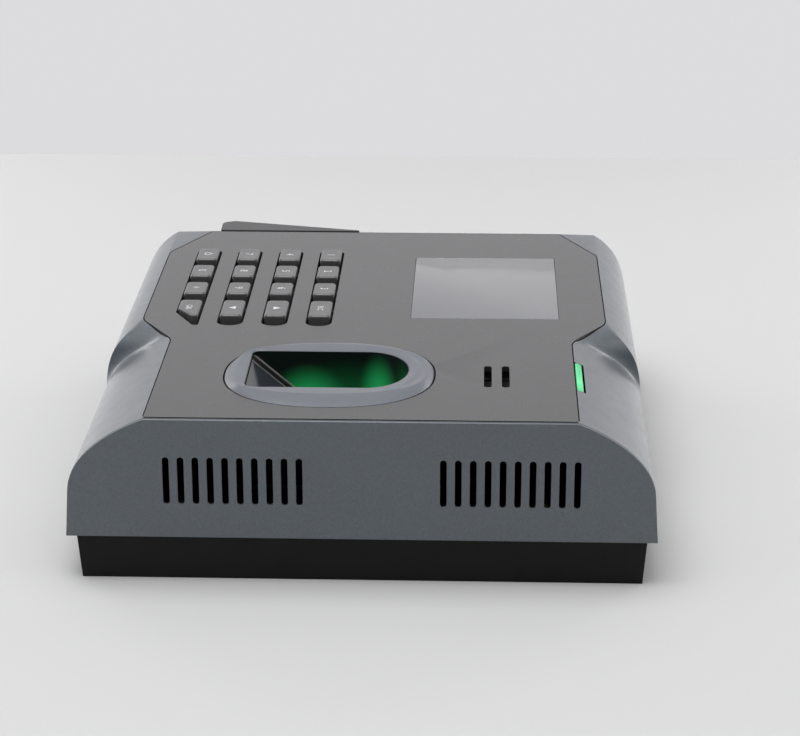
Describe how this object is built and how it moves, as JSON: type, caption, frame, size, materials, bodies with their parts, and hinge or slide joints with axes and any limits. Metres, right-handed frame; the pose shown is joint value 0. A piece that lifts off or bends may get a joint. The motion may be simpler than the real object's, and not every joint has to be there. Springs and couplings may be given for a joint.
{
  "type": "fingerprint time terminal",
  "caption": "Wall fingerprint terminal with an arched shell, ringed finger well, keypad, colour display, side port door and slide-on wall plate.",
  "frame": {"origin": "centre of the four screw holes of the wall plate, on the back plane", "axes": "+X to the terminal's right side with the vents, +Y to its top, +Z out of its face; it is stored lying on its back"},
  "size_m": [0.2139, 0.1932, 0.0589],
  "materials": {
    "shell_paint": "satin metallic paint",
    "face_black": "semi-gloss",
    "rear_black": "matte",
    "clear_window": "polished",
    "ring_paint": "satin metallic paint",
    "well_plastic": "gloss",
    "prism_glass": "polished",
    "lamp": "clear",
    "light_guide": "diffuse",
    "key_black": "satin",
    "mat_rubber": "matte",
    "circuit_board": "solder mask",
    "thin_steel": "bright",
    "display_glass": "anti-glare",
    "backlight_white": "matte",
    "screw_steel": "zinc",
    "plate_steel": "zinc",
    "chip_black": "matte",
    "relay_blue": "satin",
    "capacitor_sleeve": "gloss",
    "connector_black": "matte",
    "terminal_green": "satin",
    "cell_steel": "bright",
    "speaker_cone": "paper cone, steel cup",
    "door_black": "semi-gloss",
    "plunger_white": "satin",
    "ribbon": "polyimide"
  },
  "bodies": {
    "terminal": {"front_shell": "shell_paint", "side_panel_right": "shell_paint", "face_panel": "face_black", "rear_housing": "rear_black", "port_housing": "rear_black", "lcd_carrier": "rear_black", "speaker_retainer": "rear_black", "display_window": "clear_window", "sensor_bezel": "ring_paint", "sensor_well": "well_plastic", "sensor_prism": "prism_glass", "sensor_lens": "prism_glass", "sensor_lamps": "lamp", "status_light": "light_guide", "keypad_mat": "mat_rubber", "speaker_gasket": "mat_rubber", "keypad_board": "circuit_board", "sensor_board": "circuit_board", "main_board": "circuit_board", "status_board": "circuit_board", "socket_board": "circuit_board", "lcd_frame": "thin_steel", "shield_can": "thin_steel", "usb_socket": "thin_steel", "lcd_panel": "display_glass", "lcd_backlight": "backlight_white", "board_screws": "screw_steel", "housing_screws": "screw_steel", "door_pin": "screw_steel", "board_chips": "chip_black", "tamper_switch": "chip_black", "relay": "relay_blue", "capacitors": "capacitor_sleeve", "network_jack": "connector_black", "power_jack": "connector_black", "cell_holder": "connector_black", "terminal_block": "terminal_green", "coin_cell": "cell_steel", "speaker": "speaker_cone", "lcd_cable": "ribbon", "keypad_cable": "ribbon"},
    "key_1_body": {"key_1": "key_black"},
    "key_2_body": {"key_2": "key_black"},
    "key_3_body": {"key_3": "key_black"},
    "key_4_body": {"key_4": "key_black"},
    "key_5_body": {"key_5": "key_black"},
    "key_6_body": {"key_6": "key_black"},
    "key_7_body": {"key_7": "key_black"},
    "key_8_body": {"key_8": "key_black"},
    "key_9_body": {"key_9": "key_black"},
    "key_0_body": {"key_0": "key_black"},
    "key_star_body": {"key_star": "key_black"},
    "key_power_body": {"key_power": "key_black"},
    "key_esc_body": {"key_esc": "key_black"},
    "key_up_body": {"key_up": "key_black"},
    "key_down_body": {"key_down": "key_black"},
    "key_ok_body": {"key_ok": "key_black"},
    "port_door": {"usb_door": "door_black"},
    "mounting_plate": {"wall_plate": "plate_steel"},
    "tamper": {"tamper_plunger": "plunger_white"}
  },
  "joints": [
    {"name": "key_1_press", "type": "slide", "parent": "terminal", "child": "key_1_body", "axis": [0, 0, -1], "range_m": [0, 0.0012], "stiffness_N_per_m": 800},
    {"name": "key_2_press", "type": "slide", "parent": "terminal", "child": "key_2_body", "axis": [0, 0, -1], "range_m": [0, 0.0012], "stiffness_N_per_m": 800},
    {"name": "key_3_press", "type": "slide", "parent": "terminal", "child": "key_3_body", "axis": [0, 0, -1], "range_m": [0, 0.0012], "stiffness_N_per_m": 800},
    {"name": "key_4_press", "type": "slide", "parent": "terminal", "child": "key_4_body", "axis": [0, 0, -1], "range_m": [0, 0.0012], "stiffness_N_per_m": 800},
    {"name": "key_5_press", "type": "slide", "parent": "terminal", "child": "key_5_body", "axis": [0, 0, -1], "range_m": [0, 0.0012], "stiffness_N_per_m": 800},
    {"name": "key_6_press", "type": "slide", "parent": "terminal", "child": "key_6_body", "axis": [0, 0, -1], "range_m": [0, 0.0012], "stiffness_N_per_m": 800},
    {"name": "key_7_press", "type": "slide", "parent": "terminal", "child": "key_7_body", "axis": [0, 0, -1], "range_m": [0, 0.0012], "stiffness_N_per_m": 800},
    {"name": "key_8_press", "type": "slide", "parent": "terminal", "child": "key_8_body", "axis": [0, 0, -1], "range_m": [0, 0.0012], "stiffness_N_per_m": 800},
    {"name": "key_9_press", "type": "slide", "parent": "terminal", "child": "key_9_body", "axis": [0, 0, -1], "range_m": [0, 0.0012], "stiffness_N_per_m": 800},
    {"name": "key_0_press", "type": "slide", "parent": "terminal", "child": "key_0_body", "axis": [0, 0, -1], "range_m": [0, 0.0012], "stiffness_N_per_m": 800},
    {"name": "key_star_press", "type": "slide", "parent": "terminal", "child": "key_star_body", "axis": [0, 0, -1], "range_m": [0, 0.0012], "stiffness_N_per_m": 800},
    {"name": "key_power_press", "type": "slide", "parent": "terminal", "child": "key_power_body", "axis": [0, 0, -1], "range_m": [0, 0.0012], "stiffness_N_per_m": 800},
    {"name": "key_esc_press", "type": "slide", "parent": "terminal", "child": "key_esc_body", "axis": [0, 0, -1], "range_m": [0, 0.0012], "stiffness_N_per_m": 800},
    {"name": "key_up_press", "type": "slide", "parent": "terminal", "child": "key_up_body", "axis": [0, 0, -1], "range_m": [0, 0.0012], "stiffness_N_per_m": 800},
    {"name": "key_down_press", "type": "slide", "parent": "terminal", "child": "key_down_body", "axis": [0, 0, -1], "range_m": [0, 0.0012], "stiffness_N_per_m": 800},
    {"name": "key_ok_press", "type": "slide", "parent": "terminal", "child": "key_ok_body", "axis": [0, 0, -1], "range_m": [0, 0.0012], "stiffness_N_per_m": 800},
    {"name": "port_door_hinge", "type": "hinge", "parent": "terminal", "child": "port_door", "pos_m": [-0.101, -0.0086, 0.0365], "axis": [0, 0, -1], "range_deg": [0, 100]},
    {"name": "plate_slide", "type": "slide", "parent": "terminal", "child": "mounting_plate", "axis": [0, -1, 0], "range_m": [0, 0.008]},
    {"name": "tamper_press", "type": "slide", "parent": "terminal", "child": "tamper", "axis": [0, 0, 1], "range_m": [0, 0.0015], "stiffness_N_per_m": 200}
  ]
}
